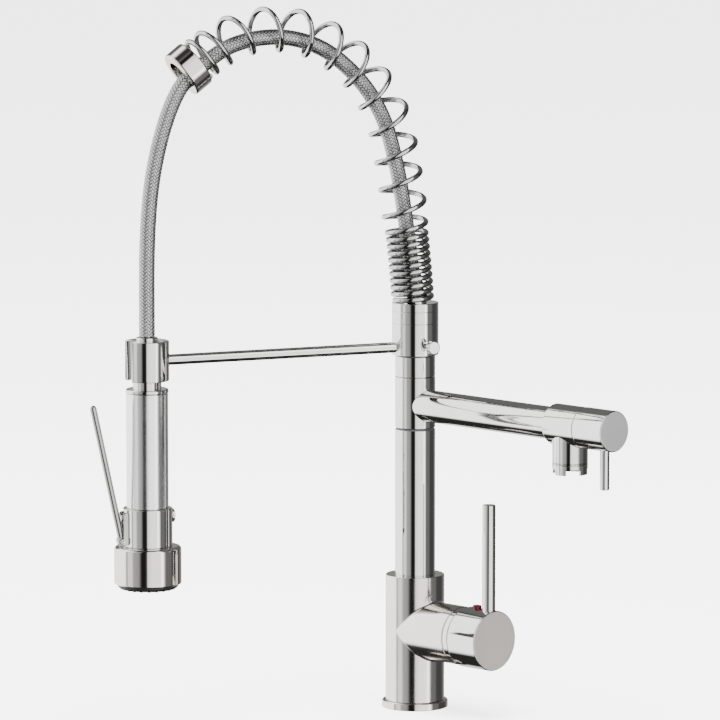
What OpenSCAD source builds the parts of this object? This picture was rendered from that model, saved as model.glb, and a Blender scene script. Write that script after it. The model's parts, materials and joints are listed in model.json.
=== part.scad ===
/* [Base] */
// Radius of the round base body
body_r = 22; // [21:0.1:23]
// Height of the top of the base body above the deck
body_top = 100.5; // [98:0.5:104]
// Radius of the flange that stands on the deck
flange_r = 24.7; // [24.7:0.1:28]
// Height of the handle axis above the deck
boss_z = 59.5; // [58:0.5:61]
/* [Handle] */
// Outer radius of the handle cap
cap_r = 22.5; // [22.3:0.1:22.8]
// Distance of the cap's flat end from the riser axis
cap_end = 82.6; // [82:0.2:86]
// Radius of the upright lever rod
lever_r = 4.9; // [4:0.1:5.2]
// Height of the top of the lever rod above the deck
lever_top = 161; // [130:1:170]
/* [Riser] */
// Outer radius of the riser tube and the lower collars
riser_r = 15; // [14.8:0.1:15.2]
// Height of the joint between the riser and the spout collar
collar_z = 211; // [200:1:215]
/* [Side spout] */
// Height of the side spout's axis
spout_z = 228.5; // [227:0.5:232]
// Outer radius of the side spout tube
spout_r = 12; // [11.5:0.1:12.4]
// Distance of the valve knob's flat end from the riser axis
spout_end = 202.5; // [201:0.5:206]
/* [Holder arm] */
// Direction of the holder arm, seen from above, from the handle axis
arm_az = -112.5; // [-120:0.5:-105]
// Distance of the spray axis from the riser axis
spray_x = 213.5; // [212:0.5:214]
// Height of the holder arm's axis
arm_z = 272; // [270:0.5:272]
/* [Spray] */
// Radius of the spray grip
grip_r = 15.4; // [15:0.1:15.6]
// Radius of the spray bell
bell_r = 24.8; // [24:0.1:26]
/* [Spring and hose] */
// Radius of the spring wire
wire_r = 2; // [1.8:0.1:2.1]
// Radius of the hose
hose_r = 5.75; // [5.5:0.05:5.8]

/* [Hidden] */
$fn = 72;
ring_z0 = 249.7;      // middle ring, lower face
block_z0 = 265.6;     // arm block, lower face
lock_z0 = 290;        // locking ring
seat_z0 = 299;        // spring seat
seat_z1 = 305.3;      // where the spring stands
pivot_x = 39;         // ball centre of the mixer lever, on the boss axis
boss_end = 49;        // end of the boss
boss_r = 21.9;        // a little slimmer than the body it grows from
cap_x0 = 55.3;        // rim of the handle cap
spindle_r = 11;
run = 0.05;           // radial clearance of a running fit
spray_top = 287;
screw_az = -17;        // heading of the arm's clamp screw
screw_z = 274;

// ---- helpers -------------------------------------------------------------
// ring or disc with rounded outer edges: r0 inner, r1 outer, z0..z1, edge radius c
module ring_profile(r0, r1, z0, z1, c) {
    translate([r0, z0 + c]) square([r1 - r0, z1 - z0 - 2 * c]);
    translate([r0, z0]) square([r1 - c - r0, z1 - z0]);
    translate([r1 - c, z0 + c]) circle(r = c, $fn = 24);
    translate([r1 - c, z1 - c]) circle(r = c, $fn = 24);
}
module ring(r0, r1, z0, z1, c = 0.5) { rotate_extrude($fn = 96) ring_profile(r0, r1, z0, z1, c); }
module rod(r, z0, z1) { translate([0, 0, z0]) cylinder(r = r, h = z1 - z0); }
// child that stands along Z is laid along +X at height z
module along_x(z) { translate([0, 0, z]) rotate([0, 90, 0]) children(); }
module arm() { rotate([0, 0, arm_az]) children(); }
module at_spray() { arm() translate([spray_x, 0, 0]) children(); }

// ---- below and on the deck ---------------------------------------------------
module deck_gasket() { color("dimgray") difference() { rod(22.5, 0, 1.5); rod(18, -1, 3); } }

module base_flange() {
    color("silver") difference() {
        ring(0.01, flange_r, 0, 5.5, 0.8);
        rod(22.6, -1, 1.5);
        rod(14.65, -1, 7);
    }
}

module base_body() {
    color("silver") difference() {
        union() {
            ring(0.01, body_r, 5.5, body_top, 0.6);
            along_x(boss_z) ring(0.01, boss_r, 0, boss_end, 0.5);
        }
        rod(13.25, 4, 20);                                // thread for the shank
        along_x(boss_z) rod(17.6, 14, boss_end + 1);      // cartridge chamber
        along_x(boss_z) rod(19.2, 36, boss_end + 1);      // thread for the cartridge nut
        // two inlet ports, each up and then out to the cartridge floor
        for (s = [-1, 1]) translate([4, 5.5 * s, 0]) rod(4.5, 19, 53);
        for (s = [-1, 1]) translate([4, 8 * s, 53]) rotate([0, 90, 0]) rod(3, 0, 11);
        // outlet from the cartridge floor up to the riser
        translate([0, 0, 66]) rotate([0, 90, 0]) rod(4, 0, 15);
        rod(5, 66, 88);
        rod(13.5, 86, body_top + 1);                      // socket for the riser
    }
}

module mounting_shank() {
    color("goldenrod") difference() {
        union() { rod(13.95, -62, 0.6); rod(14.6, 0.5, 5.4); rod(13.2, 5.3, 20); }
        rod(11.6, -63, 21);
    }
}
module shank_rubber_washer() { color("dimgray") difference() { rod(26, -33, -30); rod(14.3, -34, -29); } }
module shank_steel_washer() { color("gainsboro") difference() { rod(26, -35, -33); rod(14.3, -36, -32); } }
module mounting_nut() {
    color("goldenrod") difference() {
        translate([0, 0, -45]) cylinder(r = 22.5, h = 10, $fn = 6);
        rod(13.97, -46, -34);
    }
}

// ---- mixer -------------------------------------------------------------------
module mixer_cartridge() {
    color("whitesmoke") along_x(boss_z) difference() {
        union() { rod(17.5, 14, 36); rod(15, 36, 47); }
        rod(14.3, 16.4, 23.4);                            // disc chamber
        rod(12.6, 23.3, 43.5);                            // carrier chamber
        rod(10.6, 43, 48);
        for (s = [-1, 1]) translate([boss_z - 53 - 0.5 + 0, 8 * s, 0]) rod(2.8, 13, 17);
        translate([-6.5, 0, 0]) rod(3.8, 13, 17);
    }
}
module fixed_ceramic_disc() {
    color("white") along_x(boss_z) difference() {
        rod(14.2, 16.4, 19.8);
        for (s = [-1, 1]) translate([6, 8 * s, 0]) rod(2.6, 16, 20);
        translate([-6.5, 0, 0]) rod(3.6, 16, 20);
    }
}
module cartridge_nut() {
    color("goldenrod") along_x(boss_z) difference() { rod(19.15, 36.1, boss_end); rod(15.1, 36, boss_end + 1); }
}
module bonnet_ring() {
    color("silver") along_x(boss_z) difference() {
        ring(0.01, 21.2, boss_end, cap_x0 - 1.6, 0.4);
        rod(15.4, boss_end - 1, cap_x0);
    }
}
module turning_ceramic_disc() {
    color("white") along_x(boss_z) difference() { rod(13.9, 20.1, 23.2); rod(3, 20, 21.5); }
}
module lever_carrier() {
    color("whitesmoke") along_x(boss_z) difference() {
        rod(12.3, 23.2, 43.2);
        translate([-9, -4.3, 30]) cube([18, 8.6, 14]);    // slot for the stem
        translate([0, 0, pivot_x]) rotate([90, 0, 0]) rod(1.5, -13, 13);
    }
}
module lever_pin() { color("gainsboro") translate([pivot_x, 0, boss_z]) rotate([90, 0, 0]) rod(1.5, -11.5, 11.5); }
module mixer_stem() {
    color("gainsboro") difference() {
        translate([33, -3.9, boss_z - 3.9]) cube([39, 7.8, 7.8]);
        translate([pivot_x, 0, boss_z]) rotate([90, 0, 0]) rod(1.5 + run, -5, 5);
    }
}
module handle_cap() {
    color("silver") difference() {
        along_x(boss_z) difference() {
            ring(0.01, cap_r, cap_x0, cap_end, 0.6);
            rod(cap_r - 1.2, cap_x0 - 1, 71);
        }
        translate([76.6, 0, 0]) rod(lever_r, boss_z + 8, boss_z + 30);   // socket of the lever
        translate([64.5, 0, 0]) rod(3.45, boss_z + 16, boss_z + 30);     // seat of the index
        translate([71, -4, boss_z - 4]) cube([1.2, 8, 8]);
        translate([68, 0, 0]) rod(2.1, boss_z - 30, boss_z - 15);
    }
    color("silver") difference() {
        along_x(boss_z) rod(11, 65.5, 71);                 // hub
        translate([65, -4, boss_z - 4]) cube([8, 8, 8]);
        translate([68, 0, 0]) rod(2.1, boss_z - 20, boss_z);
    }
}
module handle_lever() { color("silver") translate([76.6, 0, 0]) ring(0, lever_r, boss_z + 8, lever_top, 0.7); }
module handle_index() { color("crimson") translate([64.5, 0, boss_z]) ring(0, 3.4, cap_r - 1.4, cap_r + 2.5, 0.6); }
module handle_set_screw() {
    color("dimgray") translate([68, 0, 0]) difference() {
        rod(2.05, boss_z - 12, boss_z - 3.95);
        translate([0, 0, boss_z - 13]) cylinder(r = 1.1, h = 4, $fn = 6);
    }
}

// ---- riser and swivels ----------------------------------------------------------
module riser_tube() {
    color("silver") difference() {
        union() { rod(riser_r, body_top, collar_z - 1); rod(13.45, 88, body_top + 1); }
        rod(11.5, 87, collar_z);
    }
}
module riser_spindle() {
    color("goldenrod") difference() {
        union() {
            rod(11.45, 196, collar_z - 1);                // screwed into the riser
            rod(spindle_r, collar_z - 2, 278.6);
            rod(9.5, 278, 283);
            translate([0, 0, collar_z - 1]) cylinder(r = 14.4, h = 0.6);
        }
        rod(5, 195, 284);
        along_x(spout_z) rod(5, 0, 13);                   // feed to the side spout
        for (z = [217, 243.5, 273]) translate([0, 0, z]) difference() {
            cylinder(r = 12, h = 2.4); translate([0, 0, -1]) cylinder(r = 9.3, h = 5);
        }
    }
}
module spindle_seals() {
    color("dimgray") for (z = [217, 243.5, 273]) translate([0, 0, z + 1.2])
        rotate_extrude() translate([10.2, 0]) circle(r = 0.82, $fn = 20);
}
module swivel_washers() {
    color("whitesmoke") {
        difference() { rod(14.4, collar_z - 0.4, collar_z + 0.2); rod(spindle_r + run, collar_z - 2, collar_z + 2); }
        difference() { rod(14.4, block_z0 - 0.4, block_z0 + 0.2); rod(spindle_r + run, block_z0 - 2, block_z0 + 2); }
    }
}
module middle_ring() {
    color("silver") difference() { ring(0.01, 14.9, ring_z0 + 0.2, block_z0 - 0.4, 0.4); rod(spindle_r + 0.02, 240, 280); }
}
module spindle_nut() {
    color("goldenrod") difference() {
        translate([0, 0, 279]) cylinder(r = 13.2, h = 4, $fn = 6);
        rod(9.52, 278, 284);
    }
}

// ---- side spout ---------------------------------------------------------------
module spout_collar() {
    color("silver") difference() {
        ring(0.01, riser_r, collar_z + 0.5, ring_z0 - 0.1, 0.4);
        rod(spindle_r + run, 200, 260);
        along_x(spout_z) rod(8, 9, 16);
        rotate_extrude() translate([spindle_r, spout_z - 5]) square([1.5, 10]);
    }
}
module spout_tube() {
    color("silver") difference() {
        union() { along_x(spout_z) rod(spout_r, 2, 143.7); }
        along_x(spout_z) rod(spout_r - 1.6, 1, 144);
        rod(riser_r, 200, 260);
    }
}
module spout_valve_body() {
    color("silver") difference() {
        along_x(spout_z) ring(0.01, 15, 143.7, 173.6, 0.5);
        along_x(spout_z) rod(8, 143, 150);
        along_x(spout_z) rod(10.5, 149, 174);
        translate([158.5, 0, 0]) rod(6.5, spout_z - 16, spout_z);
    }
}
module spout_outlet() {
    color("silver") difference() {
        translate([158.5, 0, 0]) rod(13.1, spout_z - 28, spout_z);
        along_x(spout_z) rod(15, 140, 180);
        translate([158.5, 0, 0]) rod(10.8, spout_z - 29, spout_z - 16.5);
        translate([158.5, 0, 0]) rod(6.5, spout_z - 20, spout_z);
    }
}
module aerator_housing() {
    color("silver") translate([158.5, 0, 0]) difference() {
        union() { ring(0.01, 13.1, spout_z - 35.5, spout_z - 28.1, 0.3); rod(10.7, spout_z - 28.5, spout_z - 23); }
        rod(9.6, spout_z - 37, spout_z - 20);
        rod(11.2, spout_z - 37, spout_z - 31);
        // four key notches in the lower edge
        for (a = [0, 90]) rotate([0, 0, a + 53]) translate([-15, -5.2, spout_z - 36]) cube([30, 10.4, 4.5]);
    }
}
module aerator_insert() {
    color("dimgray") translate([158.5, 0, 0]) difference() {
        union() { rod(9.55, spout_z - 31.5, spout_z - 24); rod(11.1, spout_z - 32.2, spout_z - 31); }
        for (r = [3, 6.5], a = [0 : 45 : 315]) rotate([0, 0, a + r * 5]) translate([r, 0, 0]) rod(0.9, spout_z - 33, spout_z - 20);
    }
}
module spout_valve_cartridge() {
    color("goldenrod") difference() {
        along_x(spout_z) rod(10.45, 150.1, 173.6);
        along_x(spout_z) rod(7, 149, 166);
        along_x(spout_z) rod(4 + run, 165, 175);
        translate([158.5, 0, 0]) rod(5, spout_z - 13, spout_z - 5);
    }
}
module spout_valve_stem() {
    color("gainsboro") difference() {
        along_x(spout_z) union() { rod(6.95, 151, 165.7); rod(4, 165, 190); }
        along_x(spout_z) rod(4.6, 150, 161);
        translate([158.5, 0, 0]) rod(4, spout_z - 8, spout_z);
    }
}
module spout_knob() {
    color("silver") difference() {
        along_x(spout_z) ring(0.01, 15.2, 174.1, spout_end, 0.6);
        along_x(spout_z) rod(12.5, 173, 181);
        along_x(spout_z) rod(4.02, 172, 190.1);
        translate([193, 0, 0]) rod(3.5, spout_z - 16, spout_z - 7);
    }
}
module spout_knob_lever() { color("silver") translate([193, 0, 0]) ring(0, 3.5, spout_z - 43.8, spout_z - 7, 0.6); }

// ---- swivel head and holder ------------------------------------------------------
module arm_block() {
    color("silver") arm() difference() {
        ring(0.01, 17.3, block_z0 + 0.5, lock_z0, 0.4);
        rod(spindle_r + run, 260, 278.2);
        rod(13.7, 278.2, 300);
        translate([0, 0, arm_z]) rotate([0, 90, 0]) rod(4, 13, 20);      // socket of the arm
        rotate([0, 0, screw_az - arm_az]) along_x(screw_z) rod(3, 11, 20);     // thread of the clamp screw
    }
}
module locking_ring() { color("silver") difference() { ring(0.01, 17.3, lock_z0, seat_z0, 0.35); rod(13.7, 280, 310); } }
module spring_seat() {
    color("silver") difference() {
        union() { ring(0.01, 17.3, seat_z0, seat_z1, 0.5); rod(8.6, seat_z1 - 1, 313); }
        rod(6.4, 290, 320);
    }
}
module lower_hose_ferrule() {
    color("goldenrod") difference() { union() { rod(6.35, 292, 316); rod(9, 292, 298.9); } rod(4, 290, 320); }
}
module holder_arm() {
    color("silver") arm() translate([0, 0, arm_z]) rotate([0, 90, 0]) rod(4, 13, spray_x - 13.5);
}
module holder_clip() {
    color("silver") at_spray() difference() {
        ring(10.8, 16.3, 257.5, spray_top, 0.7);
        translate([0, 0, arm_z]) rotate([0, -90, 0]) rod(4, 13.5, 20);
        // slot, open away from the riser and a little wider at the top
        rotate([0, 90, 0]) linear_extrude(height = 30) polygon([[-spray_top - 1, -7.6], [-spray_top - 1, 7.6], [-256, 6.4], [-256, -6.4]]);
    }
}
module arm_clamp_screw() {
    color("silver") rotate([0, 0, screw_az]) along_x(screw_z) {
        rod(2.95, 11.6, 26);
        ring(0, 5, 25.3, 30, 0.8);
    }
}

// ---- spring: its centre line, and the turns along it ---------------------------------
// points of the centre line, [distance from the riser axis, height]
line = [[2.3, 305.3], [2.4, 311], [3.3, 323], [5.7, 347], [9, 375], [12, 396], [15.7, 418], [21.5, 442], [32, 463],
    [46, 481.3], [64, 496], [85, 507.1], [111, 512.2], [138, 509.6], [158, 500.9], [170, 493.1], [185.5, 481.5]];
// distance along the line at which each full turn ends, close turns first
turns = concat([for (k = [0 : 9]) 2.1 + 5.2 * k], [54.5, 67, 88, 109, 132, 158, 182, 206, 230, 255, 280, 304, 319, 324.5]);
function pt(k) = let(n = len(line) - 1) k < 0 ? 2 * line[0] - line[1] : k > n ? 2 * line[n] - line[n - 1] : line[k];
function spline(k, f) = let(a = pt(k - 1), b = pt(k), c = pt(k + 1), d = pt(k + 2))
    0.5 * (2 * b + (c - a) * f + (2 * a - 5 * b + 4 * c - d) * f * f + (3 * b - a - 3 * c + d) * f * f * f);
fine = [for (k = [0 : len(line) - 2], f = [0 : 7]) spline(k, f / 8)];
function total(v, k, acc = 0) = k >= len(v) - 1 ? [acc] : concat([acc], total(v, k + 1, acc + norm(v[k + 1] - v[k])));
lens = total(fine, 0);
// point at distance s, by linear steps between the fine points
function seek(s, k = 0) = (k >= len(lens) - 2 || lens[k + 1] >= s) ? k : seek(s, k + 1);
function at(s) = let(k = seek(s)) fine[k] + (fine[k + 1] - fine[k]) * (s - lens[k]) / (lens[k + 1] - lens[k]);
function dir(s) = let(d = at(s + 1.5) - at(s - 1.5)) d / norm(d);
function ease(x) = let(t = min(1, max(0, x))) t * t * (3 - 2 * t);
// the coil is a little wider on the open, lower turns
function coil_r(s) = 14.3 + 1.3 * ease((s - 50) / 18) - 0.4 * ease((s - 145) / 60);
function turn_s(q) = let(k = min(floor(q), len(turns) - 2), f = q - k, a = turns[max(k - 1, 0)], b = turns[k], c = turns[k + 1], d = turns[min(k + 2, len(turns) - 1)],
    m0 = k == 0 ? c - b : (c - a) / 2, m1 = k == len(turns) - 2 ? c - b : (d - b) / 2)
    b * (1 + 2 * f) * (1 - f) * (1 - f) + m0 * f * (1 - f) * (1 - f) + c * f * f * (3 - 2 * f) + m1 * f * f * (f - 1);
function coil(q) = let(s = turn_s(q), c = at(s), t = dir(s), r = coil_r(s), a = 360 * q)
    [c[0] + r * cos(a) * t[1], r * sin(a), c[1] - r * cos(a) * t[0]];
function cross3(a, b) = [a[1] * b[2] - a[2] * b[1], a[2] * b[0] - a[0] * b[2], a[0] * b[1] - a[1] * b[0]];
// tube of n sides along points p; up is the direction that the sides start from
module tube(p, r, n, up) {
    m = len(p);
    points = [for (i = [0 : m - 1]) let(t0 = p[min(i + 1, m - 1)] - p[max(i - 1, 0)], t = t0 / norm(t0),
        a0 = up(i) - t * (up(i) * t), a = a0 / norm(a0), b = cross3(t, a))
        for (j = [0 : n - 1]) p[i] + r * (cos(360 * j / n) * a + sin(360 * j / n) * b)];
    faces = concat([[for (j = [0 : n - 1]) j]],
        [for (i = [0 : m - 2], j = [0 : n - 1]) let(k = (j + 1) % n) [i * n + j, (i + 1) * n + j, (i + 1) * n + k, i * n + k]],
        [[for (j = [n - 1 : -1 : 0]) (m - 1) * n + j]]);
    polyhedron(points, faces, convexity = 10);
}
module support_spring() {
    steps = 16;
    q1 = len(turns) - 1;
    path = [for (i = [0 : steps * q1]) coil(i / steps)];
    // away from the coil's centre
    away = function (i) let(s = turn_s(i / steps), c = at(s)) path[i] - [c[0], 0, c[1]];
    color("silver") arm() tube(path, wire_r, 8, away);
}
module spring_end_collar() {
    c = at(327.2);
    t = dir(334);
    color("silver") arm() translate([c[0], 0, c[1]]) rotate([0, atan2(t[0], t[1]), 0]) difference() {
        ring(11.3, 18.2, 0, 15.3, 1.6);
        rotate([0, 0, 30]) rotate([90, 0, 90]) translate([0, 6, 0]) cylinder(r = 1.5, h = 20);
    }
}

// ---- hose: two stretches of one hose, on either side of the end collar ----------------
// route points, [distance from the riser axis, height]
route_a = [[0, 316.6], [0.2, 320], [2.5, 328], [4.5, 341], [7, 360], [10, 379.5], [13.5, 399.5], [18, 418.5], [23.5, 437.5],
    [32, 455], [43, 470.5], [56.5, 484], [72, 495.5], [89.5, 503], [108, 506.5], [127, 506], [145, 502],
    [158, 495.5], [167.5, 489], [175.5, 483]];
route_b = [[175.9, 482.7], [182, 477.5], [187.5, 470.5], [192.5, 461.5], [196.5, 452], [201, 439], [205, 424], [208.5, 407],
    [211, 388], [212.5, 368], [213.3, 346], [213.5, 325], [213.5, 307], [213.5, 290]];
module hose(route) {
    p = [for (q = route) [q[0], 0, q[1]]];
    side = function (i) [0, 1, 0];
    color("gainsboro") arm() tube(p, hose_r, 12, side);
}
module hose_in_spring() { hose(route_a); }
module hose_to_spray() { hose(route_b); }

// ---- spray ----------------------------------------------------------------------
module upper_hose_ferrule() {
    color("silver") at_spray() difference() { ring(0.01, 8, 270, 289.6, 0.5); rod(3.8, 260, 300); }
}
module spray_shank() {
    color("silver") at_spray() difference() {
        union() { rod(10.45, 251.6, spray_top); rod(7.9, 240, 252); }
        rod(8, 270, 290);
        rod(5, 230, 280);
    }
}
module spray_flange_ring() {
    color("silver") at_spray() difference() { ring(0.01, 15.8, 248.3, 251.6, 1.2); rod(7.95, 240, 260); }
}
module spray_grip() { color("lightgray") at_spray() difference() { ring(0.01, grip_r, 163.5, 248.3, 0.5); rod(12.2, 160, 250); } }
module spray_core_tube() {
    color("goldenrod") at_spray() difference() { rod(12.1, 160.5, 248.2); rod(7.95, 238, 250); rod(5.5, 150, 240); }
}
module spray_valve_block() {
    color("silver") at_spray() difference() {
        union() {
            ring(0.01, 18.2, 135.1, 163.4, 0.5);
            translate([0, 0, 156.5]) rotate([0, 90, 0]) rod(4.2, 10, 18.5);        // plunger guide
            // ears of the trigger
            for (s = [-1, 1]) translate([0, s * 4.3, 139.5]) rotate([90, 0, 0]) union() {
                translate([20.5, 0, -1.3]) cylinder(r = 2.95, h = 2.6);
                translate([14, -2.95, -1.3]) cube([6.5, 2.95, 2.6]);
                translate([14, 0, -1.3]) cube([6.6, 21.5, 2.6]);
            }
            rod(12, 122, 136);
        }
        rod(12.15, 160.5, 170);
        rod(7, 121, 152);
        translate([0, 0, 156.5]) rotate([0, 90, 0]) rod(2.5 + run, -13, 20);
        rod(5, 145, 160);
        translate([0, 0, 156.5]) rotate([0, 90, 0]) rod(4, -19, -10);
        translate([16.5, -2.95, 134]) cube([12, 5.9, 15]);                        // slot for the trigger's foot
        translate([20.5, 0, 139.5]) rotate([90, 0, 0]) rod(1.25, -8, 8);
    }
}
module spray_valve_cap() {
    color("silver") at_spray() translate([0, 0, 156.5]) rotate([0, -90, 0]) difference() {
        union() { rod(3.95, 11, 18.4); ring(0, 5.2, 18.2, 20.2, 0.5); }
        rod(2, 10, 16);
        translate([0, 0, 19.4]) cylinder(r = 1.8, h = 2, $fn = 6);
    }
}
module valve_plunger() {
    color("gainsboro") at_spray() translate([0, 0, 156.5]) rotate([0, 90, 0]) {
        rod(2.5, -8, 20.4);
        ring(0, 2.5, 20, 20.9, 0.4);
    }
}
module trigger_pin() { color("gainsboro") at_spray() translate([20.5, 0, 139.5]) rotate([90, 0, 0]) rod(1.25, -6.2, 6.2); }
module spray_trigger() {
    color("silver") at_spray() translate([20.5, 0, 139.5]) difference() {
        rotate([0, 12.3, 0]) union() {
            rod(2.5, 0, 101.5);
            translate([0, 0, 101.5]) sphere(r = 2.5, $fn = 32);
            rotate([90, 0, 0]) rod(3.3, -2.6, 2.6);
        }
        rotate([90, 0, 0]) rod(1.25 + run, -4, 4);
    }
}
module spray_bell() {
    color("silver") at_spray() difference() {
        ring(0.01, bell_r, 106.8, 135.1, 2.6);
        rod(12.05, 120, 140);
        rod(bell_r - 2.2, 100, 122);
    }
}
module spray_diffuser() {
    color("whitesmoke") at_spray() difference() {
        rod(bell_r - 2.3, 114, 121.8);
        rod(9, 117, 123);
        for (r = [6, 12, 18], a = [0 : 30 : 330]) rotate([0, 0, a + r]) translate([r, 0, 0]) rod(0.9, 112, 118);
        rod(bell_r - 5, 117, 119.5);
    }
}
module spray_nozzle_face() {
    color("dimgray") at_spray() difference() {
        union() { ring(0, 22.3, 103.4, 113.9, 1.8); }
        for (r = [6, 12, 18], a = [0 : 30 : 330]) rotate([0, 0, a + r]) translate([r, 0, 0]) rod(0.7, 100, 115);
        translate([0, 0, 101]) difference() { cylinder(r = 20.2, h = 3.4); translate([0, 0, -1]) cylinder(r = 19.4, h = 6); }
    }
}

deck_gasket();
base_flange();
base_body();
mounting_shank();
shank_rubber_washer();
shank_steel_washer();
mounting_nut();
mixer_cartridge();
fixed_ceramic_disc();
cartridge_nut();
bonnet_ring();
turning_ceramic_disc();
lever_carrier();
lever_pin();
mixer_stem();
handle_cap();
handle_lever();
handle_index();
handle_set_screw();
riser_tube();
riser_spindle();
spindle_seals();
swivel_washers();
middle_ring();
spindle_nut();
spout_collar();
spout_tube();
spout_valve_body();
spout_outlet();
aerator_housing();
aerator_insert();
spout_valve_cartridge();
spout_valve_stem();
spout_knob();
spout_knob_lever();
arm_block();
locking_ring();
spring_seat();
lower_hose_ferrule();
support_spring();
hose_in_spring();
holder_arm();
holder_clip();
arm_clamp_screw();
spring_end_collar();
hose_to_spray();
upper_hose_ferrule();
spray_shank();
spray_flange_ring();
spray_grip();
spray_core_tube();
spray_valve_block();
spray_valve_cap();
spray_bell();
spray_diffuser();
spray_nozzle_face();
spray_trigger();
trigger_pin();
valve_plunger();
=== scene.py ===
import bpy
import json
import math
import numpy as np
from mathutils import Matrix, Vector


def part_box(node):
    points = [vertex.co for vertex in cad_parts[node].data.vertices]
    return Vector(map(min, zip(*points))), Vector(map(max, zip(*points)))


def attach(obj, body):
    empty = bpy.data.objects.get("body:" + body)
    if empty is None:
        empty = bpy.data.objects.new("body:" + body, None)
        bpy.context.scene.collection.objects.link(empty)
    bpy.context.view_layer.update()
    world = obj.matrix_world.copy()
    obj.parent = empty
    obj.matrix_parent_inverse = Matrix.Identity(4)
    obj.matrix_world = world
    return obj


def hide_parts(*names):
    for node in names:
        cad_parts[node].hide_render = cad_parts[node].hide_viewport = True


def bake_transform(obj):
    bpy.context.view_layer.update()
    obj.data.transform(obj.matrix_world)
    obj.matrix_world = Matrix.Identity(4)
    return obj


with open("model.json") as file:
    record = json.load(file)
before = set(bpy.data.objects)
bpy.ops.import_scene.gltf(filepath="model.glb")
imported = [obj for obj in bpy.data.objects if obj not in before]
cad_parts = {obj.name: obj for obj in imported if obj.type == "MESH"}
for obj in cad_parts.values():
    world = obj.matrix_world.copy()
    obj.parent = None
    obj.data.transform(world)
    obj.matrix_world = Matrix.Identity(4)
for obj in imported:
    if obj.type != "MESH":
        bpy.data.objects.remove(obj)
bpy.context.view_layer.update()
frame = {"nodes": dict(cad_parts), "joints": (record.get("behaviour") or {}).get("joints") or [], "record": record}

TAU = 2 * math.pi
MM = 0.001

# ------------------------------------------------------------------ camera
ELEV = math.radians(7.7)
AZ = math.radians(-45.0)
RIGHT = Vector((math.cos(AZ + math.pi / 2), math.sin(AZ + math.pi / 2), 0))
TOWARD = Vector((math.cos(ELEV) * math.cos(AZ), math.cos(ELEV) * math.sin(AZ), math.sin(ELEV)))
UP = TOWARD.cross(RIGHT)
DIST = 5.0
aim = Vector((0, 0, 0.2616)) - RIGHT * 0.0412
cam_data = bpy.data.cameras.new("camera")
cam_data.sensor_width = 36
cam_data.lens = 36 * DIST / (0.745 * MM * 720)
cam_data.clip_start = 0.1
cam_data.clip_end = 60
camera = bpy.data.objects.new("camera", cam_data)
bpy.context.scene.collection.objects.link(camera)
camera.matrix_world = Matrix((
    (RIGHT.x, UP.x, TOWARD.x, aim.x + DIST * TOWARD.x),
    (RIGHT.y, UP.y, TOWARD.y, aim.y + DIST * TOWARD.y),
    (RIGHT.z, UP.z, TOWARD.z, aim.z + DIST * TOWARD.z),
    (0, 0, 0, 1)))
bpy.context.scene.camera = camera

# ------------------------------------------------------------------ sizes, in millimetres, as the CAD has them
record = frame["record"]
joints = {j["name"]: j for j in frame["joints"]}
ARM = math.radians(-112.5)
ARM_M = Matrix.Rotation(ARM, 4, "Z")


def mm(node):
    lo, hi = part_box(node)
    return [v * 1000 for v in lo], [v * 1000 for v in hi]


lo, hi = mm("base_body")
BODY_R = -lo[0]
BODY_TOP = hi[2]
BOSS_END = hi[0]
lo, hi = mm("handle_cap")
CAP_R = (hi[1] - lo[1]) / 2
BOSS_Z = (hi[2] + lo[2]) / 2
CAP_X0, CAP_END = lo[0], hi[0]
FLANGE_R = mm("base_flange")[1][0]
lo, hi = mm("spout_knob")
SPOUT_Z = (hi[2] + lo[2]) / 2
SPOUT_END, KNOB_R, KNOB_X0 = hi[0], (hi[2] - lo[2]) / 2, lo[0]
lo, hi = mm("riser_tube")
RISER_R, RISER_TOP = hi[0], hi[2]
SPRAY_X = math.hypot(*[(a + b) / 2 for a, b in zip(mm("spray_grip")[0], mm("spray_grip")[1])][:2])
lo, hi = mm("holder_arm")
ARM_Z = (hi[2] + lo[2]) / 2
SPRAY_M = ARM_M @ Matrix.Translation((SPRAY_X * MM, 0, 0))


def along_x(z):
    """Local Z is laid along +X, at height z in millimetres; local X then points down."""
    return Matrix.Translation((0, 0, z * MM)) @ Matrix.Rotation(math.pi / 2, 4, "Y")


# ------------------------------------------------------------------ node materials
def new_material(name):
    m = bpy.data.materials.new(name)
    m.use_nodes = True
    t = m.node_tree
    t.nodes.clear()
    out = t.nodes.new("ShaderNodeOutputMaterial")
    b = t.nodes.new("ShaderNodeBsdfPrincipled")
    t.links.new(b.outputs[0], out.inputs[0])
    return m, t, b


def noise(t, scale, detail=2.0, rough=0.5, vector=None, distortion=0.0):
    n = t.nodes.new("ShaderNodeTexNoise")
    n.inputs["Scale"].default_value = scale
    n.inputs["Detail"].default_value = detail
    n.inputs["Roughness"].default_value = rough
    n.inputs["Distortion"].default_value = distortion
    if vector is not None:
        t.links.new(vector, n.inputs["Vector"])
    return n


def ramp(t, src, stops):
    r = t.nodes.new("ShaderNodeValToRGB")
    e = r.color_ramp.elements
    while len(e) > 1:
        e.remove(e[-1])
    e[0].position = stops[0][0]
    e[0].color = stops[0][1]
    for p, c in stops[1:]:
        x = e.new(p)
        x.color = c
    t.links.new(src, r.inputs[0])
    return r


def grey(v):
    return (v, v, v, 1)


def scaled_coords(t, scale):
    c = t.nodes.new("ShaderNodeTexCoord")
    mp = t.nodes.new("ShaderNodeMapping")
    mp.inputs["Scale"].default_value = scale
    t.links.new(c.outputs["Object"], mp.inputs["Vector"])
    return mp.outputs[0]


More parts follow.
